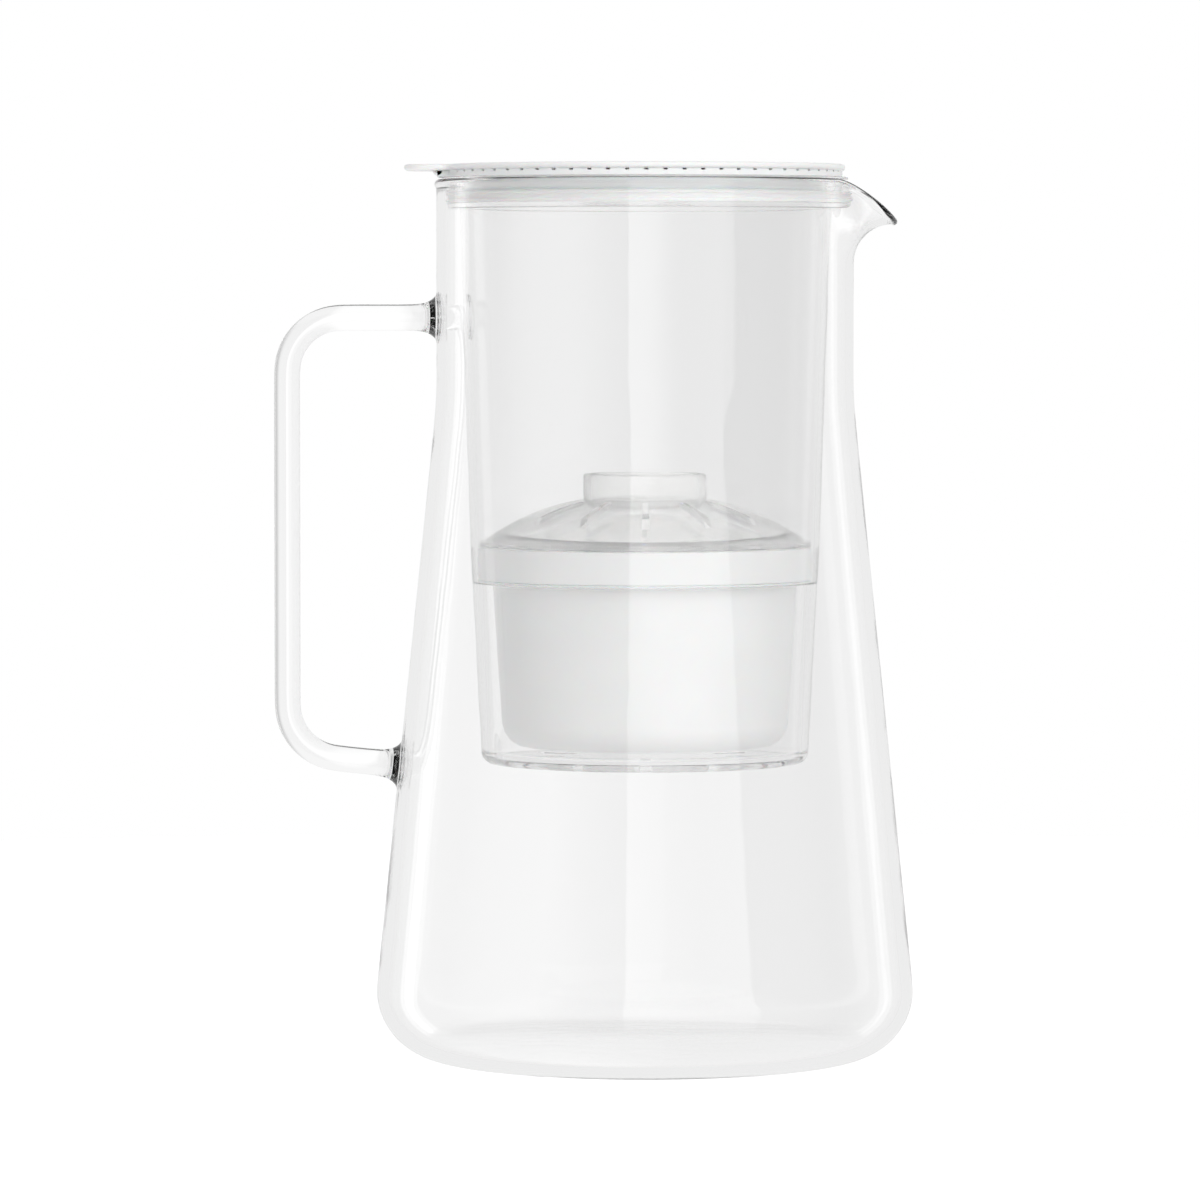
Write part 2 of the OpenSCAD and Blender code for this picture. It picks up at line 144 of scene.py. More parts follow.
class LidSizes(bpy.types.PropertyGroup):
    radius: length("Disc radius", 0.059, "Radius of the lid's disc")
    underside: length("Underside", COLLAR_TOP - 0.0014, "Height of the disc's underside")
    top: length("Top", COLLAR_TOP + 0.0005, "Height of the lid's face")
    tab_reach: length("Tab reach", -TAB_END, "Distance of the tab's end from the axis")
    tab_width: length("Tab width", 0.024, "Width of the thumb tab")
    collar_radius: length("Collar radius", 0.0582, "Outside radius of the collar")
    vents: number("Vents", 66, 20, "Vents round the collar, with those left out at the hinge")
    pin_distance: length("Pin distance", 0.0611, "Distance of the hinge pin from the axis")
    knuckle: length("Knuckle", 0.0014, "Radius of the hinge's knuckles")


class CartridgeSizes(bpy.types.PropertyGroup):
    band_radius: length("Band radius", BAND_HIGH.x, "Outside radius of the flange")
    band_low: length("Band underside", BAND_LOW.z, "Height of the flange's underside")
    band_high: length("Band top", BAND_HIGH.z, "Height of the flange's top")
    cup_radius: length("Cup radius", 0.0451, "Outside radius of the cup under the flange")
    cup_low: length("Cup underside", CUP_LOW.z, "Height of the cup's underside")
    cup_high: length("Cup top", CUP_HIGH.z, "Height of the cup's rim")
    cup_wall: length("Cup wall", 0.0016, "Thickness of the cup")
    crown: length("Crown", DOME_TOP, "Height of the dome's crown")
    dome_radius: length("Dome arc", 0.067, "Radius of the dome's arc")
    dome_wall: length("Dome wall", 0.0046, "Thickness of the dome")
    inlets: number("Inlet slots", 12, 3, "Slots in the dome")


class Finishes(bpy.types.PropertyGroup):
    glass: colour("Glass", (0.994, 0.994, 0.994), "Borosilicate glass")
    clear_plastic: colour("Clear plastic", (0.991, 0.991, 0.991), "Reservoir")
    milky_plastic: colour("Milky plastic", (0.99, 0.99, 0.988), "Dome and lifting ring")
    white_plastic: colour("White plastic", (0.93, 0.93, 0.927), "Lid, collar, flange and cup")
    silicone: colour("Silicone", (0.975, 0.973, 0.970), "Gasket and seals")
    steel: colour("Steel", (0.62, 0.62, 0.64), "Hinge pin")
    mesh: colour("Mesh", (0.97, 0.97, 0.965), "Fine strainers of white nylon")
    fleece: colour("Fleece", (0.93, 0.92, 0.89), "Filter fleece")
    carbon: colour("Carbon", (0.022, 0.022, 0.024), "Activated carbon")
    resin: colour("Resin", (0.62, 0.40, 0.13), "Ion exchange beads")
    backdrop: colour("Floor", (0.45, 0.45, 0.45), "Studio floor")


class StudioSettings(bpy.types.PropertyGroup):
    daylight: light("Daylight", 0.25, "Even light on matt surfaces")
    key_light: light("Key light", 2.15, "Light from the front and above on matt surfaces")
    back_light: light("Back light", 0.5, "Light from the far side on matt surfaces")
    table_light: light("Table light", 0.8, "Light from below on matt surfaces")
    behind_left: light("Behind left", 1.03, "What glass shows on the left")
    behind_right: light("Behind right", 0.93, "What glass shows on the right")
    under: light("Under", 0.03, "What glass shows straight below")
    dark_side: light("Dark side", 0.03, "What mirrors from the camera's side")
    grey_side: light("Grey sides", 0.2, "What mirrors from left and right")
    bright_side: light("Bright side", 0.85, "What mirrors from the far side")
    softbox: light("Softbox", 1.0, "Brightness of the softboxes as mirrored")
    table_glow: light("Table glow", 0.72, "Light of the lit studio table")


SETTINGS = {
    "pitcher_carafe": CarafeSizes,
    "pitcher_handle": HandleSizes,
    "pitcher_reservoir": ReservoirSizes,
    "pitcher_lid": LidSizes,
    "pitcher_cartridge": CartridgeSizes,
    "pitcher_finishes": Finishes,
    "pitcher_studio": StudioSettings,
}


def in_mm(group):
    """The group's sizes as plain numbers, lengths in millimetres."""
    values = {}
    for name in group.__annotations__:
        unit = group.bl_rna.properties[name].unit
        values[name] = getattr(group, name) / MM if unit == "LENGTH" else getattr(group, name)
    return SimpleNamespace(**values)


# ---------------------------------------------------------------- drawing and turning


class Outline:
    """An outline in the plane of radius and height, drawn stroke by stroke in millimetres."""

    def __init__(self, radius, height):
        self.mesh = bmesh.new()
        self.first = self.last = self.mesh.verts.new((radius, 0, height))

    def line(self, radius, height, steps=1):
        start, goal = self.last.co.copy(), Vector((radius, 0, height))
        for i in range(steps):
            self.last = bmesh.ops.extrude_vert_indiv(self.mesh, verts=[self.last])["verts"][0]
            self.last.co = start.lerp(goal, (i + 1) / steps)
        return self

    def arc(self, radius, height, degrees, steps):
        """Turns round the point at radius, height. A positive angle turns from outwards to upwards."""
        made = bmesh.ops.spin(
            self.mesh, geom=[self.last], cent=(radius, 0, height), axis=(0, -1, 0),
            angle=math.radians(degrees), steps=steps,
        )
        self.last = points(made["geom_last"])[0]
        return self

    def path(self, *corners):
        """Straight runs from corner to corner, (radius, height) or (radius, height, rounding)."""
        for here, ahead in zip(corners, corners[1:] + (None,)):
            at = Vector((here[0], 0, here[1]))
            if len(here) < 3 or ahead is None:
                self.line(here[0], here[1])
                continue
            back = (self.last.co - at).normalized()
            on = (Vector((ahead[0], 0, ahead[1])) - at).normalized()
            half = back.angle(on) / 2
            touch = at + back * here[2] / math.tan(half)
            middle = at + (back + on).normalized() * here[2] / math.sin(half)
            left = on.x * back.z - on.z * back.x > 0
            degrees = 180 - 2 * math.degrees(half)
            self.line(touch.x, touch.z)
            self.arc(middle.x, middle.z, degrees if left else -degrees, max(2, round(degrees / 22)))
        return self

    def closed(self):
        self.mesh.edges.new((self.last, self.first))
        return self


def turned(outline, steps=144):
    """The outline turned once round the pitcher's axis."""
    bm = outline.mesh
    bmesh.ops.spin(
        bm, geom=bm.verts[:] + bm.edges[:], cent=(0, 0, 0), axis=(0, 0, 1), angle=ROUND, steps=steps,
        use_merge=True,
    )
    bmesh.ops.remove_doubles(bm, verts=bm.verts, dist=1e-4)
    bmesh.ops.recalc_face_normals(bm, faces=bm.faces)
    return bm


def points(made):
    """The vertices among what an operator returned."""
    return [item for item in made if isinstance(item, bmesh.types.BMVert)]


def bearing(point):
    """Angle of a point round the axis, in degrees from 0 to 360."""
    return math.degrees(math.atan2(point.y, point.x)) % 360


def off_spoke(point, count):
    """Angle between a point and the nearest of count spokes, in degrees."""
    pitch = 360 / count
    return (bearing(point) + pitch / 2) % pitch - pitch / 2


def opened(bm, inside):
    """Deletes a set of faces and returns the points round the opening."""
    rim = {v for f in inside for v in f.verts if any(g not in inside for g in v.link_faces)}
    bmesh.ops.delete(bm, geom=list(inside), context="FACES")
    return rim


def slots(bm, count, reach, width, levels, half_angle=2.6):
    """Cuts radial slots through both skins that lie between two levels, and closes their walls."""
    low, high = levels
    inside = {
        f for f in bm.faces
        if reach[0] < f.calc_center_median().xy.length < reach[1]
        and low < f.calc_center_median().z < high
        and abs(off_spoke(f.calc_center_median(), count)) < half_angle
    }
    rim = opened(bm, inside)
    for v in rim:
        off = off_spoke(v.co, count)
        spoke = math.radians(bearing(v.co) - off)
        along = v.co.x * math.cos(spoke) + v.co.y * math.sin(spoke)
        across = 0 if abs(off) < half_angle / 4 else math.copysign(width / 2, off)
        v.co.x = along * math.cos(spoke) - across * math.sin(spoke)
        v.co.y = along * math.sin(spoke) + across * math.cos(spoke)
    for i in range(count):
        edges = [
            e for e in bm.edges
            if e.is_boundary and e.verts[0] in rim and e.verts[1] in rim
            and round((bearing((e.verts[0].co + e.verts[1].co) / 2)) / (360 / count)) % count == i
        ]
        bmesh.ops.bridge_loops(bm, edges=edges)


def cylinder(bm, place, radius, length, sides):
    bmesh.ops.create_cone(
        bm, cap_ends=True, segments=sides, radius1=radius, radius2=radius, depth=length, matrix=place
    )


def carved(bm, knives):
    """The mesh less the closed shapes in another mesh. Both are used up."""
    objects = []
    for name, source in (("carved", bm), ("knives", knives)):
        mesh = bpy.data.meshes.new(name)
        source.to_mesh(mesh)
        source.free()
        objects.append(bpy.data.objects.new(name, mesh))
        bpy.context.scene.collection.objects.link(objects[-1])
    whole, knife = objects
    cut = whole.modifiers.new("Cut", "BOOLEAN")
    cut.operation, cut.solver, cut.object = "DIFFERENCE", "EXACT", knife
    bm = bmesh.new()
    bm.from_object(whole, bpy.context.evaluated_depsgraph_get())
    for item in objects:
        bpy.data.meshes.remove(item.data)
    return bm


def piece(name, bm, body, look, slot, *replaced, crease=35, weighted=True):
    """Makes an object of the mesh, in metres, that rides on a body and stands for CAD nodes."""
    bmesh.ops.scale(bm, vec=(MM, MM, MM), verts=bm.verts)
    for face in bm.faces:
        face.smooth = True
    for edge in bm.edges:
        edge.smooth = edge.is_manifold and edge.calc_face_angle(0) < math.radians(crease)
    mesh = bpy.data.meshes.new(name)
    bm.to_mesh(mesh)
    bm.free()
    mesh.materials.append(finish(look))
    made = bpy.data.objects.new(name, mesh)
    bpy.context.scene.collection.objects.link(made)
    if weighted:
        normals = made.modifiers.new("Even normals", "WEIGHTED_NORMAL")
        normals.keep_sharp = True
    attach(made, body)
    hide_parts(*replaced)
    return made


def dress(look, *nodes):
    """Gives CAD nodes that stay their finish."""
    for name in nodes:
        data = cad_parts[name].data
        data.materials.clear()
        data.materials.append(finish(look))


# ---------------------------------------------------------------- node groups and finishes


def link(tree, source, target):
    """Feeds an input from another node's output, or with a plain value."""
    if isinstance(source, bpy.types.NodeSocket):
        tree.links.new(source, target)
    else:
        target.default_value = source


def node(tree, kind, inputs, **settings):
    """Adds a node with its settings and inputs."""
    made = tree.nodes.new("ShaderNode" + kind)
    for name, value in settings.items():
        setattr(made, name, value)
    for label, value in inputs.items():
        link(tree, value, made.inputs[label])
    return made


def noise(tree, vector, scale, detail=2.0, roughness=0.5):
    inputs = {"Vector": vector, "Scale": scale, "Detail": detail, "Roughness": roughness}
    return node(tree, "TexNoise", inputs).outputs["Fac"]


def sums(tree, operation, *values):
    """The result of one sum on sockets and numbers."""
    return node(tree, "Math", dict(enumerate(values)), operation=operation).outputs[0]


def ramp(tree, value, low, high, start=0.0, end=1.0, smooth=True):
    """Maps low..high of a value to start..end."""
    inputs = {"Value": value, "From Min": low, "From Max": high, "To Min": start, "To Max": end}
    kind = "SMOOTHSTEP" if smooth else "LINEAR"
    return node(tree, "MapRange", inputs, interpolation_type=kind).outputs["Result"]


def new_group(name, inputs, outputs):
    """An empty node group for a vector and numbers, with what it is given and what it gives out."""
    group = bpy.data.node_groups.new(name, "ShaderNodeTree")
    group.interface.new_socket("Vector", in_out="INPUT", socket_type="NodeSocketVector")
    for label, default in inputs.items():
        socket = group.interface.new_socket(label, in_out="INPUT", socket_type="NodeSocketFloat")
        socket.default_value = default
    for label in outputs:
        group.interface.new_socket(label, in_out="OUTPUT", socket_type="NodeSocketFloat")
    given, out = group.nodes.new("NodeGroupInput"), group.nodes.new("NodeGroupOutput")
    return group, given.outputs, out.inputs


@cache
def slow_waves():
    """Gentle unevenness of glass that was worked hot, or of thick mouldings."""
    group, given, out = new_group("Slow waves", {"Scale": 30.0}, ["Height"])
    broad = noise(group, given["Vector"], given["Scale"], 1.0)
    fine = noise(group, given["Vector"], sums(group, "MULTIPLY", given["Scale"], 3.1), 0.0)
    link(group, sums(group, "MULTIPLY_ADD", fine, 0.25, broad), out["Height"])
    return group


@cache
def handling():
    """Roughness of a surface that is washed and touched: faint smears and a few hairline marks."""
    numbers = {"Scale": 60.0, "Polished": 0.02, "Worn": 0.08}
    group, given, out = new_group("Handling", numbers, ["Roughness"])
    smear = ramp(group, noise(group, given["Vector"], given["Scale"], 4.0, 0.6), 0.45, 0.75)
    stretched = {"Vector": given["Vector"], "Scale": (1, 1, 14), "Rotation": (0.6, 0.3, 0)}
    hair = noise(group, node(group, "Mapping", stretched).outputs[0], 420.0, 2.0)
    mark = sums(group, "MAXIMUM", sums(group, "MULTIPLY", smear, 0.7), ramp(group, hair, 0.70, 0.74))
    link(group, ramp(group, mark, 0, 1, given["Polished"], given["Worn"], False), out["Roughness"])
    return group


@cache
def moulded_grain():
    """Fine spark-eroded grain of satin mouldings."""
    group, given, out = new_group("Moulded grain", {"Scale": 2600.0}, ["Height"])
    link(group, noise(group, given["Vector"], given["Scale"], 2.0, 0.6), out["Height"])
    return group


@cache
def weave():
    """Crossing wires: their height, and where they lie over the gaps."""
    group, given, out = new_group("Weave", {"Pitch": 0.0006}, ["Height", "Wire"])
    parts = node(group, "SeparateXYZ", {0: given["Vector"]}).outputs
    waves = []
    for axis in (0, 1):
        turns = sums(group, "DIVIDE", parts[axis], given["Pitch"])
        wave = sums(group, "SINE", sums(group, "MULTIPLY", turns, math.pi))
        waves.append(sums(group, "ABSOLUTE", wave))
    height = sums(group, "MAXIMUM", *waves)
    link(group, height, out["Height"])
    link(group, ramp(group, height, 0.55, 0.8), out["Wire"])
    return group


@cache
def granules():
    """Loose grains: their height and a shade of their own for each."""
    group, given, out = new_group("Granules", {"Scale": 900.0}, ["Height", "Shade"])
    cells = node(group, "TexVoronoi", {"Vector": given["Vector"], "Scale": given["Scale"]}).outputs
    link(group, sums(group, "SUBTRACT", 1.0, cells["Distance"]), out["Height"])
    link(group, node(group, "SeparateColor", {0: cells["Color"]}).outputs[0], out["Shade"])
    return group


class Finish:
    """A material with one shader, to which effects are added."""

    def __init__(self, name, base, **settings):
        self.material = bpy.data.materials.new(name)
        self.material.use_nodes = True
        self.tree = self.material.node_tree
        self.shader = self.tree.nodes["Principled BSDF"].inputs
        self.place = node(self.tree, "TexCoord", {}).outputs["Object"]
        self.base = tuple(base)
        for label, value in {"Base_Color": (*base, 1.0), **settings}.items():
            self.shader[label.replace("_", " ")].default_value = value

    def add(self, effect, **values):
        """Adds one of the node groups and returns what it gives out."""
        inputs = {"Vector": self.place, **values}
        return node(self.tree, "Group", inputs, node_tree=effect()).outputs

    def bump(self, height, distance, strength):
        inputs = {"Height": height, "Distance": distance, "Strength": strength}
        link(self.tree, node(self.tree, "Bump", inputs).outputs["Normal"], self.shader["Normal"])

    def roughness(self, polished, worn, scale):
        marks = self.add(handling, Polished=polished, Worn=worn, Scale=scale)
        link(self.tree, marks["Roughness"], self.shader["Roughness"])

    def shades(self, mask, other):
        """Turns the colour where the mask is 1 into another, or into a share of itself."""
        if isinstance(other, float):
            other = [other * part for part in self.base]
        inputs = {"Factor": mask, 6: (*self.base, 1.0), 7: (*other, 1.0)}
        mixed = node(self.tree, "Mix", inputs, data_type="RGBA").outputs[2]
        link(self.tree, mixed, self.shader["Base Color"])


def finish(name):
    """The material of that name, made on first use."""
    if name in bpy.data.materials:
        return bpy.data.materials[name]
    tints, studio = bpy.context.scene.pitcher_finishes, bpy.context.scene.pitcher_studio
    if name == "Carafe glass":
        made = Finish(name, tints.glass, Transmission_Weight=1.0, IOR=1.474, Roughness=0.0)
        made.bump(made.add(slow_waves, Scale=38.0)["Height"], 0.0006, 0.12)
    elif name == "Clear plastic":
        made = Finish(name, tints.clear_plastic, Transmission_Weight=1.0, IOR=1.49)
        made.roughness(0.02, 0.05, 70.0)
    elif name == "Milky plastic":
        made = Finish(name, tints.milky_plastic, Transmission_Weight=0.85, IOR=1.36)
        made.roughness(0.08, 0.14, 70.0)
        made.bump(made.add(slow_waves, Scale=40.0)["Height"], 0.0004, 0.05)
    elif name == "White plastic":
        made = Finish(name, tints.white_plastic, IOR=1.47, Subsurface_Weight=0.12, Subsurface_Scale=0.002)
        made.roughness(0.30, 0.42, 90.0)
        made.bump(made.add(moulded_grain, Scale=3000.0)["Height"], 0.00002, 0.5)
        cloud = noise(made.tree, made.place, 45.0, 3.0)
        made.shades(ramp(made.tree, cloud, 0.35, 0.7), 0.975)
    elif name == "Silicone":
        made = Finish(
            name, tints.silicone, IOR=1.41, Transmission_Weight=0.08, Subsurface_Weight=0.3,
            Subsurface_Scale=0.002,
        )
        made.roughness(0.42, 0.55, 120.0)
        made.bump(made.add(moulded_grain, Scale=1800.0)["Height"], 0.00002, 0.6)
    elif name == "Pin steel":
        made = Finish(name, tints.steel, Metallic=1.0)
        made.roughness(0.18, 0.34, 500.0)
    elif name == "Fine mesh":
        made = Finish(name, tints.mesh, Roughness=0.4)
        wires = made.add(weave, Pitch=0.0007)
        made.shades(sums(made.tree, "SUBTRACT", 1.0, wires["Wire"]), 0.86)
        made.bump(wires["Height"], 0.00015, 0.8)
    elif name == "Fleece":
        made = Finish(name, tints.fleece, Roughness=0.9, Sheen_Weight=0.3)
        fibres = noise(made.tree, made.place, 1400.0, 5.0, 0.75)
        made.shades(ramp(made.tree, fibres, 0.35, 0.7), 0.82)
        made.bump(fibres, 0.0004, 0.8)
    elif name == "Carbon":
        made = Finish(name, tints.carbon, Roughness=0.7)
        grains = made.add(granules, Scale=1000.0)
        made.shades(grains["Shade"], (0.07, 0.07, 0.075))
        made.bump(grains["Height"], 0.0006, 0.9)
    elif name == "Resin beads":
        made = Finish(name, tints.resin, Roughness=0.22, Coat_Weight=0.4)
        beads = made.add(granules, Scale=1300.0)
        made.shades(beads["Shade"], (0.80, 0.60, 0.28))
        made.bump(beads["Height"], 0.0005, 0.9)
    else:
        made = Finish(
            name, tints.backdrop, Roughness=0.75, Emission_Color=(1, 1, 1, 1),
            Emission_Strength=studio.table_glow,
        )
        made.shades(noise(made.tree, made.place, 3.0, 2.0), 0.995)
    return made.material


# ---------------------------------------------------------------- carafe


def flank(run, rise, corner):
    """Lean of the flank in degrees. It is the tangent from the neck's foot to the corner's round."""
    return math.degrees(math.asin(corner / math.hypot(run, rise)) - math.atan2(run, rise))


def wall_outline(size):
    """Both skins of the vessel, from the middle of the underside to the middle of the floor."""
    neck, bend, lean = size.neck_radius, size.neck_bend, size.lean
    lean_in = flank(
        neck - size.wall - size.base_radius, size.neck_foot - size.corner_radius,
        size.corner_radius - size.floor,
    )

    # Skins of the flank, as the points where their bends and corners begin
    def edge(radius, corner, angle):
        a = math.radians(angle)
        low = (size.base_radius + corner * math.cos(a), size.corner_radius + corner * math.sin(a))
        bend_z = size.neck_foot + bend * math.tan(a / 2)
        high = (radius + bend - bend * math.cos(a), bend_z - bend * math.sin(a))
        return Vector(low), Vector(high), bend_z

    low, high, bend_z = edge(neck, size.corner_radius, lean)
    inner = neck - size.wall
    low_in, _, bend_in_z = edge(inner, size.corner_radius - size.floor, lean_in)
    bead_set = 0.85  # the bead's middle behind the outer skin
    bead_r, bead_z = neck - bead_set, size.rim_height - size.bead
    dip = math.degrees(math.acos(bead_set / size.bead))
    spout_z = bead_z - size.spout_height
    joint = size.joint_on_flank - low.y
    joint_row = size.low_cell * math.cos(math.radians(lean))

    def at(rise):
        return low + (high - low) * rise / (high.y - low.y)

    middle, foot_ring = 3, 57
    pen = Outline(0, size.punt)
    pen.line(middle, size.punt)
    pen.line(foot_ring, 0, 8)
    pen.line(size.base_radius, 0)
    pen.arc(size.base_radius, size.corner_radius, 90 + lean, 13)
    pen.line(*at(joint - 3 * joint_row), 7)
    pen.line(*at(joint + 3 * joint_row), 6)
    pen.line(*high, 10)
    pen.arc(neck + bend, bend_z, -lean, 2)
    pen.line(neck, size.joint_on_neck - 3 * size.high_cell, 3)
    pen.line(neck, size.joint_on_neck + 3 * size.high_cell, 6)
    pen.line(neck, spout_z, 3)
    pen.line(neck, bead_z - size.bead * math.sin(math.radians(dip)), 9)
    pen.arc(bead_r, bead_z, 180 + dip, 8)
    pen.line(inner, bead_z - 1.4)
    pen.line(inner, spout_z, 8)
    pen.line(inner, bend_in_z, 10)
    pen.arc(inner + bend, bend_in_z, lean_in, 2)
    pen.line(*low_in, 18)
    pen.arc(size.base_radius, size.corner_radius, -90 - lean_in, 12)
    pen.line(foot_ring, size.floor)
    pen.line(middle, size.floor + size.punt, 8)
    pen.line(0, size.floor + size.punt)
    return pen


def pull_spout(bm, size):
    """Pulls a sector of the neck out and down into the spout, and thins its wall and bead."""
    neck, reach, rise = size.neck_radius, size.spout_reach, size.spout_height
    half = math.degrees(size.spout_half_angle)
    foot = size.rim_height - size.bead - rise
    for v in bm.verts:
        off = (bearing(v.co) + 180) % 360 - 180
        if abs(off) >= half or v.co.z <= foot or v.co.xy.length < neck - 5:
            continue
        share = math.cos(math.radians(90 * off / half)) ** 2
        t = min(1, (v.co.z - foot) / rise)
        over = max(0, v.co.z - foot - rise) * (1 - 0.27 * share)
        depth = (neck - v.co.xy.length) * (1 - 0.3 * share * t)
        height = rise - size.spout_drop * share**1.25
        quarter = t * math.pi / 2
        radius = neck + reach * share * (1 - math.cos(quarter))
        z = foot + height * ((1 - share) * t + share * math.sin(quarter))
        lean = math.atan2(
            reach * share * math.sin(quarter) * math.pi / 2,
            height * ((1 - share) + share * math.cos(quarter) * math.pi / 2),
        )
        radius += over * math.sin(lean) - depth * math.cos(lean)
        z += over * math.cos(lean) + depth * math.sin(lean)
        a = math.radians(off)
        v.co = (radius * math.cos(a), radius * math.sin(a), z)


def open_wall(bm, centre, away, up, cell, radius, wall_radius):
    """Opens the outer skin round a joint and returns the opening's points, in order round it."""
    def local(point):
        d = point - centre
        return d.y, d.dot(up), d.dot(away)

    inside = set()
    for f in bm.faces:
        y, u, n = local(f.calc_center_median())
        i, j = abs(y) / cell, abs(u) / cell
        if max(i, j) < 3 and min(i, j) < 2 and abs(n) < 1.2 and f.normal.dot(away) > 0.7:
            inside.add(f)
    def around(v):
        y, u = local(v.co)[:2]
        return (math.atan2(u, y) + 0.05) % ROUND

    ring = sorted(opened(bm, inside), key=around)
    for k, v in enumerate(ring):
        a = ROUND * k / len(ring)
        v.co = centre + radius * (math.cos(a) * Vector((0, 1, 0)) + math.sin(a) * up)
        round_wall = wall_radius(v.co.z)
        v.co.x = -math.sqrt(round_wall**2 - v.co.y**2)
    return ring


def lower_arm(size, rod):
    """Start, direction and foot of the lower arm, which meets the flank at a right angle."""
    lean = math.radians(size.lean)
    ahead = Vector((math.cos(lean), 0, -math.sin(lean)))
    bend = Vector((rod.bend - rod.grip_distance, 0, rod.lower_bend))
    start = bend + rod.bend * Vector((-math.sin(lean), 0, -math.cos(lean)))
    corner = Vector((-size.base_radius, 0, size.corner_radius)) - size.corner_radius * ahead
    return start, ahead, start + ahead * (corner - start).dot(ahead)


def add_handle(bm, size, rod):
    """Runs the glass rod from the neck round both bends to the flank, and fuses its feet."""
    lean = math.radians(size.lean)
    left, down = Vector((-1, 0, 0)), Vector((0, 0, -1))
    neck = Vector((-size.neck_radius, 0, rod.upper_arm))
    start, ahead, foot = lower_arm(size, rod)
    top = open_wall(
        bm, neck, left, -down, size.high_cell, rod.foot_radius, lambda z: size.neck_radius
    )
    bottom = open_wall(
        bm, foot, -ahead, Vector((ahead.z, 0, -ahead.x)), size.low_cell, rod.foot_radius,
        lambda z: -foot.x - (z - foot.z) * math.tan(lean),
    )
    stations = []  # middle of the rod, its direction, its radius, its distance from the wall
    cage = rod.rod_radius * 1.0115  # smoothing draws the rod in by as much
    widest, free = 7.8, 9  # radius of the foot beside the wall, and a distance out of its reach

    def straight(begin, goal, way, steps):
        for i in range(steps):
            stations.append((begin.lerp(goal, (i + 1) / steps), way, cage, free))

    def bend(height, first, sweep, steps=8):
        for i in range(steps):
            a = first + sweep * (i + 1) / steps
            out = rod.bend * Vector((-math.sin(a), 0, math.cos(a)))
            middle = Vector((rod.bend - rod.grip_distance, 0, height))
            stations.append((middle + out, Vector((-math.cos(a), 0, -math.sin(a))), cage, free))

    flare = []
    for share in (0.93, 0.86, 0.78, 0.68, 0.56, 0.42, 0.26, 0.0):
        t = share * math.pi / 2
        flare.append((rod.foot_length * (1 - math.sin(t)), cage + (widest - cage) * (1 - math.cos(t))))
    for away, radius in flare:
        stations.append((neck + left * away, left, radius, away))
    corner = Vector((rod.bend - rod.grip_distance, 0, rod.upper_arm))
    grip = Vector((-rod.grip_distance, 0, rod.upper_arm - rod.bend))
    straight(neck + left * rod.foot_length, corner, left, 3)
    bend(grip.z, 0, math.pi / 2)
    straight(grip, Vector((grip.x, 0, rod.lower_bend)), down, 15)
    bend(rod.lower_bend, math.pi / 2, math.pi / 2 - lean)
    straight(start, foot - ahead * rod.foot_length, ahead, 2)
    for away, radius in reversed(flare[:-1]):
        stations.append((foot - ahead * away, ahead, radius, away))

    ring = top
    for k, (middle, way, radius, away) in enumerate(stations):
        ring = next_ring(bm, ring)
        up = Vector((way.z, 0, -way.x))
        for i, v in enumerate(ring):
            a = ROUND * i / len(ring)
            v.co = middle + radius * (math.cos(a) * Vector((0, 1, 0)) + math.sin(a) * up)
            sag = (radius * math.cos(a)) ** 2 / 2 / size.neck_radius * max(0, 1 - away / 5)
            v.co += (way if k > len(stations) / 2 else -way) * sag
    ring = next_ring(bm, ring)
    bmesh.ops.weld_verts(bm, targetmap=dict(zip(ring, bottom)))


def next_ring(bm, ring):
    """Extrudes a closed ring of points and returns the new ones in the same order."""
    edges = [bm.edges.get((v, ring[(i + 1) % len(ring)])) for i, v in enumerate(ring)]
    made = bmesh.ops.extrude_edge_only(bm, edges=edges)["geom"]
    fresh = set(points(made))
    return [next(e.other_vert(v) for e in v.link_edges if e.other_vert(v) in fresh) for v in ring]


class PITCHER_OT_carafe(bpy.types.Operator):
    """Turn the glass vessel, pull its spout and fuse the rod handle to it"""

    bl_idname = "pitcher.carafe"
    bl_label = "Carafe"

    def execute(self, context):
        size = in_mm(context.scene.pitcher_carafe)
        rod = in_mm(context.scene.pitcher_handle)
        cell = ROUND / size.columns
        size.lean = flank(
            size.neck_radius - size.base_radius, size.neck_foot - size.corner_radius, size.corner_radius
        )
        foot = lower_arm(size, rod)[-1]
        size.joint_on_neck, size.high_cell = rod.upper_arm, size.neck_radius * cell
        size.joint_on_flank, size.low_cell = foot.z, -foot.x * cell
        bm = turned(wall_outline(size), size.columns)
        add_handle(bm, size, rod)
        pull_spout(bm, size)
        bmesh.ops.recalc_face_normals(bm, faces=bm.faces)
        made = piece(
            "glass_carafe", bm, "carafe", "Carafe glass", "carafe_glass",
            "carafe_base", "carafe_flank", "carafe_neck", "carafe_spout", "carafe_handle",
            crease=180, weighted=False,
        )
        smooth = made.modifiers.new("Fire polish", "SUBSURF")
        smooth.levels = smooth.render_levels = 1
        return {"FINISHED"}


# ---------------------------------------------------------------- reservoir


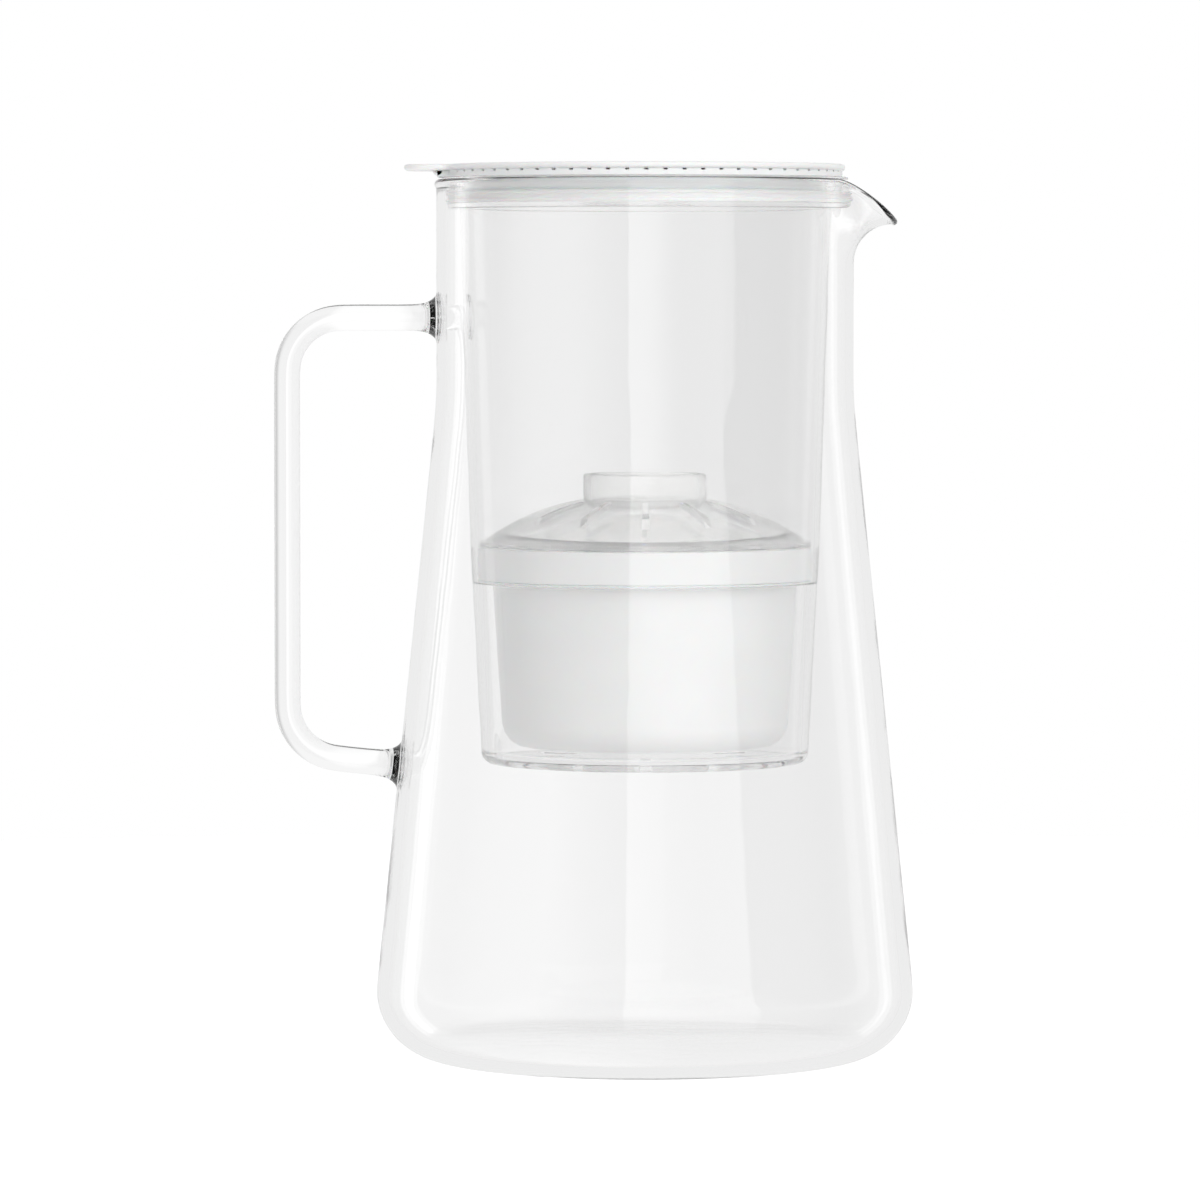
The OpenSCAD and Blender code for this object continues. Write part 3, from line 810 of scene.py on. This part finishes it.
class PITCHER_OT_reservoir(bpy.types.Operator):
    """Turn the clear reservoir with its drain slots, ledge, groove and hanging rim"""

    bl_idname = "pitcher.reservoir"
    bl_label = "Reservoir"

    def execute(self, context):
        size = in_mm(context.scene.pitcher_reservoir)
        cup = in_mm(context.scene.pitcher_cartridge)
        low, wall, top = size.underside, size.wall, size.shoulder
        rim = RIM_TOP / MM + RESERVOIR_OVER_RIM
        land, flange, mouth = 58.3, 59.95, 54.6
        flange_low, mouth_low, bowl = rim - 0.7, 253, 49.85
        floor, slot_start, slot_end = low + wall, 24, 36
        pen = Outline(0, low)
        pen.line(slot_start, low, 4).line(slot_end, low, 3)
        pen.path(
            (size.low_radius, low, 3), (size.seat_radius, cup.band_high), (size.top_radius, top, 0.6)
        )
        pen.path(
            (land, top, 0.35), (land, GROOVE_LOW, 0.15), (GROOVE_RADIUS, GROOVE_LOW, 0.15),
            (GROOVE_RADIUS, GROOVE_HIGH, 0.15), (land, GROOVE_HIGH, 0.15), (land, flange_low, 0.2),
            (flange, flange_low, 0.15), (flange, rim, 0.25), (mouth, rim, 0.3), (mouth, mouth_low, 0.3),
            (size.top_radius - wall, mouth_low, 0.3), (size.top_radius - wall, top - 0.3),
            (bowl, cup.band_high, 20), (bowl, LEDGE, 0.3), (47.7, LEDGE, 0.4), (46.1, floor, 2.2),
            (slot_end + 1, floor),
        )
        pen.line(slot_end, floor).line(slot_start, floor, 3).line(0, floor, 4)
        bm = turned(pen)
        slots(bm, size.drains, (slot_start, slot_end), 3.0, (low - 1, floor + 1))
        piece(
            "clear_reservoir", bm, "reservoir_unit", "Clear plastic", "clear_plastic",
            "reservoir_bucket", "reservoir_rim",
        )
        return {"FINISHED"}


class PITCHER_OT_gasket(bpy.types.Operator):
    """Turn the silicone gasket with its two lips"""

    bl_idname = "pitcher.gasket"
    bl_label = "Gasket"

    def execute(self, context):
        lip, waist = 59.05, 58.35
        pen = Outline(GROOVE_RADIUS, GROOVE_LOW)
        pen.path(
            (lip, GROOVE_LOW, 0.25), (lip, 253.8, 0.3), (waist, 254.1, 0.3), (waist, 255.2, 0.3),
            (lip, 255.5, 0.3), (lip, GROOVE_HIGH, 0.25), (GROOVE_RADIUS, GROOVE_HIGH),
        ).closed()
        piece(
            "rim_gasket", turned(pen), "reservoir_unit", "Silicone", "silicone",
            "reservoir_gasket",
        )
        dress("Silicone", "collar_seal", "cartridge_seal")
        return {"FINISHED"}


# ---------------------------------------------------------------- lid


def knuckle(bm, middle, radius, width):
    """A cylinder across the pitcher, round the hinge's axis."""
    cylinder(bm, Matrix.Translation(middle) @ Matrix.Rotation(math.pi / 2, 4, "X"), radius, width, 32)


class PITCHER_OT_collar(bpy.types.Operator):
    """Turn the vented collar and set its two hinge knuckles"""

    bl_idname = "pitcher.collar"
    bl_label = "Collar"

    def execute(self, context):
        size = in_mm(context.scene.pitcher_lid)
        top, ring = size.underside, RIM_TOP / MM + RESERVOIR_OVER_RIM
        foot, inside, plug, groove, seal = 253.3, 53, 54.45, 53.75, (256.2, 257.8)
        depth, half_vent = 0.5, 0.6  # millimetres, and degrees round the axis
        land = top - depth
        pen = Outline(inside, foot)
        pen.path(
            (plug, foot, 0.3), (plug, seal[0]), (groove, seal[0]), (groove, seal[1]), (plug, seal[1]),
            (plug, ring), (size.collar_radius, ring, 0.2), (size.collar_radius, land), (inside, land),
        ).closed()
        bm = turned(pen, size.vents * 4)
        pitch = 360 / size.vents
        for v in bm.verts:
            part = round(bearing(v.co) / pitch * 4) % 4
            shift = {1: pitch / 4 - half_vent, 3: half_vent - pitch / 4}.get(part, 0)
            v.co.rotate(Matrix.Rotation(math.radians(shift), 3, "Z"))
        lands = []
        for f in bm.faces:
            middle = f.calc_center_median()
            vent = abs(bearing(middle) % pitch - pitch / 2) < half_vent
            at_hinge = abs(bearing(middle) - 180) < 14
            if f.normal.z > 0.9 and middle.z > land - 0.1 and (not vent or at_hinge):
                lands.append(f)
        raised = bmesh.ops.extrude_face_region(bm, geom=lands)["geom"]
        bmesh.ops.translate(bm, vec=(0, 0, depth), verts=points(raised))
        bmesh.ops.delete(bm, geom=lands, context="FACES")
        for side in (-1, 1):
            middle = Vector((-size.pin_distance, side * KNUCKLE_SIDE, top))
            knuckle(bm, middle, size.knuckle, KNUCKLE_WIDTH)
            arm = Matrix.Diagonal((4, KNUCKLE_WIDTH, 1.8, 1))
            bmesh.ops.create_cube(bm, size=1, matrix=Matrix.Translation(middle + Vector((2, 0, -1))) @ arm)
        piece(
            "vented_collar", bm, "collar_unit", "White plastic", "white_plastic", "lid_collar",
            crease=28,
        )
        dress("Pin steel", "hinge_pin")
        return {"FINISHED"}


class PITCHER_OT_lid(bpy.types.Operator):
    """Cut the thin lid with its thumb tab, skirt and middle knuckle"""

    bl_idname = "pitcher.lid"
    bl_label = "Lid"

    def execute(self, context):
        size = in_mm(context.scene.pitcher_lid)
        low, top, half = size.underside, size.top, size.tab_width / 2
        tip, blend, edge = 9.0, 3.0, 0.8  # roundings: the tab's end, its root, and the lid's edges
        meet = math.asin((half + blend) / (size.radius + blend))
        corner = Vector((-(size.radius + blend) * math.cos(meet), 0, half + blend))
        pen = Outline(-size.tab_reach, 0)
        pen.line(-size.tab_reach, half - tip)
        pen.arc(tip - size.tab_reach, half - tip, -90, 8)
        pen.line(corner.x, half)
        pen.arc(corner.x, corner.z, math.degrees(math.pi / 2 - meet), 6)
        pen.arc(0, 0, math.degrees(meet) - 180, 96)
        bm = pen.mesh
        bmesh.ops.mirror(bm, geom=bm.verts[:] + bm.edges[:], axis="Z", merge_dist=0.001)
        bmesh.ops.rotate(bm, verts=bm.verts, cent=(0, 0, 0), matrix=Matrix.Rotation(-math.pi / 2, 3, "X"))
        bmesh.ops.remove_doubles(bm, verts=bm.verts, dist=0.001)
        bmesh.ops.translate(bm, verts=bm.verts, vec=(0, 0, low))
        bmesh.ops.contextual_create(bm, geom=bm.edges[:])
        raised = bmesh.ops.extrude_face_region(bm, geom=bm.faces[:])["geom"]
        bmesh.ops.translate(bm, vec=(0, 0, top - low), verts=points(raised))
        bmesh.ops.recalc_face_normals(bm, faces=bm.faces)
        for level in (top, low):
            outline = [e for e in bm.edges if all(abs(v.co.z - level) < 0.01 for v in e.verts)]
            bmesh.ops.bevel(
                bm, geom=outline, offset=edge, affect="EDGES", segments=5, profile=0.5, material=-1
            )
        # Pockets for the collar's knuckles
        knives, play = bmesh.new(), 0.15
        for side in (-1, 1):
            middle = Vector((-size.pin_distance, side * KNUCKLE_SIDE, low))
            knuckle(knives, middle, size.knuckle + play, KNUCKLE_WIDTH + 0.4)
        bm = carved(bm, knives)
        skirt, wall, drop, sunk = 52, 0.7, 1.6, 0.1
        pen = Outline(skirt, low + sunk)
        pen.path(
            (skirt, low - drop, 0.2), (skirt + wall, low - drop, 0.2), (skirt + wall, low + sunk)
        ).closed()
        ring = turned(pen)
        mesh = bpy.data.meshes.new("skirt")
        ring.to_mesh(mesh)
        ring.free()
        bm.from_mesh(mesh)
        bpy.data.meshes.remove(mesh)
        knuckle(bm, Vector((-size.pin_distance, 0, low)), size.knuckle, 9)
        piece("hinged_lid", bm, "lid", "White plastic", "white_plastic", "flip_lid", crease=32)
        return {"FINISHED"}


# ---------------------------------------------------------------- cartridge


class PITCHER_OT_cup(bpy.types.Operator):
    """Turn the cartridge's white cup and its flange"""

    bl_idname = "pitcher.cup"
    bl_label = "Cup and flange"

    def execute(self, context):
        size = in_mm(context.scene.pitcher_cartridge)
        low, high, wall = size.cup_low, size.cup_high, size.cup_wall
        floor, slot_start, slot_end, corner = low + wall, 10, 28, 7.5

        def radius(z):
            return size.cup_radius + math.tan(CUP_DRAFT) * (z - size.band_low)

        skin = wall / math.cos(CUP_DRAFT)
        pen = Outline(0, low)
        pen.line(slot_start, low, 2).line(slot_end, low, 4)
        pen.path(
            (radius(low), low, corner), (radius(high), high), (radius(high) - skin, high),
            (radius(low) - skin, floor, corner - wall), (slot_end + 1, floor),
        )
        pen.line(slot_end, floor).line(slot_start, floor, 4).line(0, floor, 2)
        bm = turned(pen)
        slots(bm, 12, (slot_start, slot_end), 2.0, (low - 1, floor + 1))
        piece("filter_cup", bm, "cartridge", "White plastic", "white_plastic", "cartridge_cup")

        band, bottom, top = size.band_radius, size.band_low, size.band_high
        shell, opening, rim = 1.8, 42.1, 45.1
        pen = Outline(rim, bottom)
        pen.path(
            (band, bottom, 0.5), (band, top, 0.5), (opening, top, 0.3), (opening, top - shell),
            (band - shell, top - shell, 0.4), (band - shell, bottom + shell, 0.4),
            (radius(bottom + shell), bottom + shell),
        ).closed()
        piece(
            "filter_flange", turned(pen), "cartridge", "White plastic", "white_plastic",
            "cartridge_flange",
        )
        return {"FINISHED"}


class PITCHER_OT_dome(bpy.types.Operator):
    """Turn the clear dome with its inlet slots, and the ring that lifts the cartridge"""

    bl_idname = "pitcher.dome"
    bl_label = "Dome and lifting ring"

    def execute(self, context):
        size = in_mm(context.scene.pitcher_cartridge)
        arc, flat = size.dome_radius, 8.0  # the dome is an arc turned round a flat crown
        foot, foot_radius = size.band_high + 0.1, 49
        slot_start, slot_end = 21, 35
        middle, thin = size.crown - arc, arc - size.dome_wall

        def turn(rho, radius):
            return math.degrees(math.acos((radius - flat) / rho))

        pen = Outline(0, size.crown)
        pen.line(flat, size.crown, 3)
        here = 90
        for goal in (slot_start, slot_end):
            pen.arc(flat, middle, turn(arc, goal) - here, 6)
            here = turn(arc, goal)
        level = math.degrees(math.asin((foot + 2.3 - middle) / arc))
        pen.arc(flat, middle, level - here, 6)
        pen.path((47.3, foot + 1.5, 0.5), (foot_radius, foot + 1.5, 0.4), (foot_radius, foot, 0.2))
        pen.line(flat + math.sqrt(thin**2 - (foot - middle) ** 2), foot)
        here = math.degrees(math.atan2(foot - middle, pen.last.co.x - flat))
        for goal, steps in ((slot_end, 4), (slot_start, 6)):
            pen.arc(flat, middle, turn(thin, goal) - here, steps)
            here = turn(thin, goal)
        pen.arc(flat, middle, 90 - here, 6)
        pen.line(0, size.crown - size.dome_wall, 3)
        bm = turned(pen)
        slots(bm, size.inlets, (slot_start, slot_end), 2.0, (foot + 1, size.crown + 1))
        # Vents that let trapped air out of the crown
        knives, vents, vent_radius, off_axis = bmesh.new(), 3, 1.5, 7
        for i in range(vents):
            at = Matrix.Translation((off_axis, 0, size.crown - 3))
            cylinder(knives, Matrix.Rotation(ROUND * i / vents, 4, "Z") @ at, vent_radius, 12, 24)
        bm = carved(bm, knives)
        piece("pale_dome", bm, "cartridge", "Milky plastic", "clear_plastic", "cartridge_dome")

        inside, outside, top = 16, 18.2, GRIP_TOP / MM

        def seat(radius):
            return middle + math.sqrt(arc**2 - (radius - flat) ** 2)

        pen = Outline(inside, seat(inside))
        pen.path(
            (outside, seat(outside)), (outside, top, 0.8), (inside, top, 0.8), (inside, seat(inside))
        )
        bm = turned(pen)
        piece("lifting_ring", bm, "cartridge", "Milky plastic", "clear_plastic", "dome_grip")
        return {"FINISHED"}


class PITCHER_OT_filling(bpy.types.Operator):
    """Give the strainers, fleeces and beds inside the cartridge their finishes"""

    bl_idname = "pitcher.filling"
    bl_label = "Filling"

    def execute(self, context):
        dress("Fine mesh", "inlet_mesh", "media_screen", "outlet_mesh")
        dress("Fleece", "inlet_fleece", "outlet_fleece")
        dress("Carbon", "carbon_bed")
        dress("Resin beads", "resin_bed")
        return {"FINISHED"}


# ---------------------------------------------------------------- studio


def softbox(tree, turn, rise, left, right, low, high, soft=2.0):
    """A mask that is 1 where a softbox stands, between two bearings and two elevations in degrees."""
    half = soft / 2
    masks = (
        ramp(tree, turn, sums(tree, "SUBTRACT", left, half), sums(tree, "ADD", left, half)),
        ramp(tree, turn, sums(tree, "SUBTRACT", right, half), sums(tree, "ADD", right, half), 1.0, 0.0),
        ramp(tree, rise, low - soft, low + soft),
        ramp(tree, rise, high - soft, high + soft, 1.0, 0.0),
    )
    whole = masks[0]
    for mask in masks[1:]:
        whole = sums(tree, "MULTIPLY", whole, mask)
    return whole


def mix(tree, factor, first, second):
    """first where factor is 0, second where it is 1."""
    rest = sums(tree, "SUBTRACT", 1.0, factor)
    return sums(tree, "ADD", sums(tree, "MULTIPLY", first, rest), sums(tree, "MULTIPLY", second, factor))


def mirrored_studio(tree, studio, view):
    """What glass and gloss mirror: a dark room behind the camera, softboxes and a pale far side."""
    y, turn, rise, depth = view.y, view.turn, view.rise, view.depth
    # Dark towards the camera, grey beside it, bright on the far side, overhead and underfoot
    shown = ramp(tree, y, -0.95, -0.6, studio.dark_side, studio.grey_side)
    shown = mix(tree, ramp(tree, y, 0.0, 0.6), shown, studio.bright_side)
    shown = mix(tree, ramp(tree, rise, 40, 55), shown, studio.bright_side)
    shown = mix(tree, ramp(tree, rise, -45, -30, 1.0, 0.0), shown, studio.bright_side)
    # The broad softbox in front leans, and fades towards the floor and on walls further back
    left_edge = ramp(tree, rise, 0, 10, -9.7, -8.2, False)
    right_edge = ramp(tree, rise, 0, 10, 50.5, 42.5, False)
    front = softbox(tree, turn, rise, left_edge, right_edge, -30, 45, 1.5)
    front = sums(tree, "MULTIPLY", front, ramp(tree, rise, -15, 0, 0.5, 1.0))
    front = sums(tree, "MULTIPLY", front, ramp(tree, depth, 3, 8, 1.0, 0.3))
    shown = mix(tree, front, shown, studio.softbox)
    for left, right, power in ((-130.0, -118.0, 1.6), (124.0, 132.0, 1.3)):
        strip = softbox(tree, turn, rise, left, right, -30, 60)
        shown = mix(tree, strip, shown, studio.softbox * power)
    # Deep inside, everything mirrors something pale
    return mix(tree, ramp(tree, depth, 2, 6, 0.0, 0.8), shown, studio.bright_side)


def studio_through_glass(tree, studio, view):
    """What is seen through glass: the lit far wall, paler on the left, and a dark room under the table."""
    x, depth = view.x, view.depth
    shown = ramp(tree, x, -0.022, 0.02, studio.behind_left, studio.behind_right, False)
    shown = sums(tree, "SUBTRACT", shown, ramp(tree, x, -0.15, -0.05, 0.08, 0.0))
    shown = sums(tree, "MULTIPLY", shown, ramp(tree, x, 0.35, 0.70, 1.0, 0.6))
    # Behind four walls it is a little darker, most of all on the right
    shade = sums(tree, "MULTIPLY", ramp(tree, x, 0.008, 0.022, 0.015, 0.08), ramp(tree, depth, 4, 8))
    shown = sums(tree, "SUBTRACT", shown, shade)
    under = ramp(tree, depth, 2, 4, studio.under, 0.7)
    return mix(tree, ramp(tree, view.rise, -60, -50, 1.0, 0.0), shown, under)


def light_on_matt(tree, studio, view):
    """What lights matt surfaces: even daylight, a broad key light, the far side and the table."""
    key_way, spread = (0.24, -0.83, 0.50), 4.0  # towards the key light, and how fast it falls off
    key = node(tree, "VectorMath", {0: view.way, 1: key_way}, operation="DOT_PRODUCT").outputs["Value"]
    front = sums(tree, "POWER", sums(tree, "MAXIMUM", key, 0.0), spread)
    lit = sums(tree, "MULTIPLY_ADD", front, studio.key_light, studio.daylight)
    lit = sums(tree, "MULTIPLY_ADD", sums(tree, "MAXIMUM", view.y, 0.0), studio.back_light, lit)
    lit = mix(tree, ramp(tree, view.rise, -4, 0, 1.0, 0.0), lit, studio.table_light)
    # Under the dome it is as light as outside
    return sums(tree, "MULTIPLY", lit, ramp(tree, view.depth, 8, 12, 1.0, 1.5))


def studio_light(scene, studio):
    """A white studio that differs for what is seen directly, through glass, mirrored or on matt pieces."""
    world = bpy.data.worlds.new("Studio")
    scene.world = world
    world.use_nodes = True
    tree = world.node_tree
    sky = tree.nodes["Background"]
    sky.inputs["Color"].default_value = (1, 1, 1, 1)
    kind = node(tree, "LightPath", {}).outputs
    way = node(tree, "TexCoord", {}).outputs["Generated"]
    x, y, z = node(tree, "SeparateXYZ", {0: way}).outputs
    # Bearing from the camera's side, positive to the right, and elevation, in degrees
    turn = sums(tree, "DEGREES", sums(tree, "ARCTAN2", x, sums(tree, "MULTIPLY", y, -1.0)))
    rise = sums(tree, "DEGREES", sums(tree, "ARCSINE", z))
    view = SimpleNamespace(way=way, x=x, y=y, turn=turn, rise=rise, depth=kind["Transmission Depth"])
    bounced = ramp(tree, kind["Glossy Depth"], 0.0, 1.0, 0.0, 1.0, False)
    diffused = ramp(tree, kind["Diffuse Depth"], 0.0, 1.0, 0.0, 1.0, False)
    seen = mix(tree, bounced, studio_through_glass(tree, studio, view), mirrored_studio(tree, studio, view))
    seen = mix(tree, diffused, seen, light_on_matt(tree, studio, view))
    seen = mix(tree, kind["Is Camera Ray"], seen, 1.0)
    link(tree, seen, sky.inputs["Strength"])


class PITCHER_OT_stage(bpy.types.Operator):
    """Lay the pale floor, light the white studio and set the camera"""

    bl_idname = "pitcher.stage"
    bl_label = "Stage"

    def execute(self, context):
        scene = context.scene
        bm = bmesh.new()
        bmesh.ops.create_circle(bm, cap_ends=True, segments=96, radius=0.85)
        mesh = bpy.data.meshes.new("floor")
        bm.to_mesh(mesh)
        bm.free()
        mesh.materials.append(finish("Studio floor"))
        floor = bpy.data.objects.new("floor", mesh)
        floor.location.z = -0.0001  # clear of the glass that stands on it
        # Glass shows the studio in its place, which is as pale and has no seam
        floor.visible_transmission = floor.visible_glossy = False
        scene.collection.objects.link(floor)
        studio_light(scene, scene.pitcher_studio)
        # The camera as it was fitted to the photo's outline and ellipses
        lens = bpy.data.cameras.new("photo_camera")
        lens.lens = 210
        camera = bpy.data.objects.new("photo_camera", lens)
        camera.location = (-0.0133, -2.0695, 0.2289)
        camera.rotation_euler = (math.radians(90 - 2.577), 0, 0)
        scene.collection.objects.link(camera)
        scene.camera = camera
        scene.view_settings.view_transform = "Standard"
        # Light that is caught between the skins of the floor needs many bounces to come out again
        scene.cycles.max_bounces = 56
        scene.cycles.transmission_bounces = 30
        scene.cycles.glossy_bounces = 46
        scene.cycles.blur_glossy = 0
        return {"FINISHED"}


OPERATORS = (
    PITCHER_OT_carafe,
    PITCHER_OT_reservoir,
    PITCHER_OT_gasket,
    PITCHER_OT_collar,
    PITCHER_OT_lid,
    PITCHER_OT_cup,
    PITCHER_OT_dome,
    PITCHER_OT_filling,
    PITCHER_OT_stage,
)


class PITCHER_PT_sidebar(bpy.types.Panel):
    """The pitcher's pieces and settings"""

    bl_idname = "PITCHER_PT_sidebar"
    bl_label = "Pitcher"
    bl_space_type = "VIEW_3D"
    bl_region_type = "UI"
    bl_category = "Pitcher"

    def draw(self, context):
        for operator in OPERATORS:
            self.layout.operator(operator.bl_idname)
        for name, group in SETTINGS.items():
            box = self.layout.box()
            box.label(text=group.__name__)
            for field in group.__annotations__:
                box.prop(getattr(context.scene, name), field)


def register():
    for name, group in SETTINGS.items():
        bpy.utils.register_class(group)
        setattr(bpy.types.Scene, name, PointerProperty(type=group))
    for item in OPERATORS + (PITCHER_PT_sidebar,):
        bpy.utils.register_class(item)


def unregister():
    for item in reversed(OPERATORS + (PITCHER_PT_sidebar,)):
        bpy.utils.unregister_class(item)
    for name, group in reversed(SETTINGS.items()):
        delattr(bpy.types.Scene, name)
        bpy.utils.unregister_class(group)


def main():
    register()
    for operator in OPERATORS:
        group, name = operator.bl_idname.split(".")
        getattr(getattr(bpy.ops, group), name)()


if __name__ == "__main__":
    main()
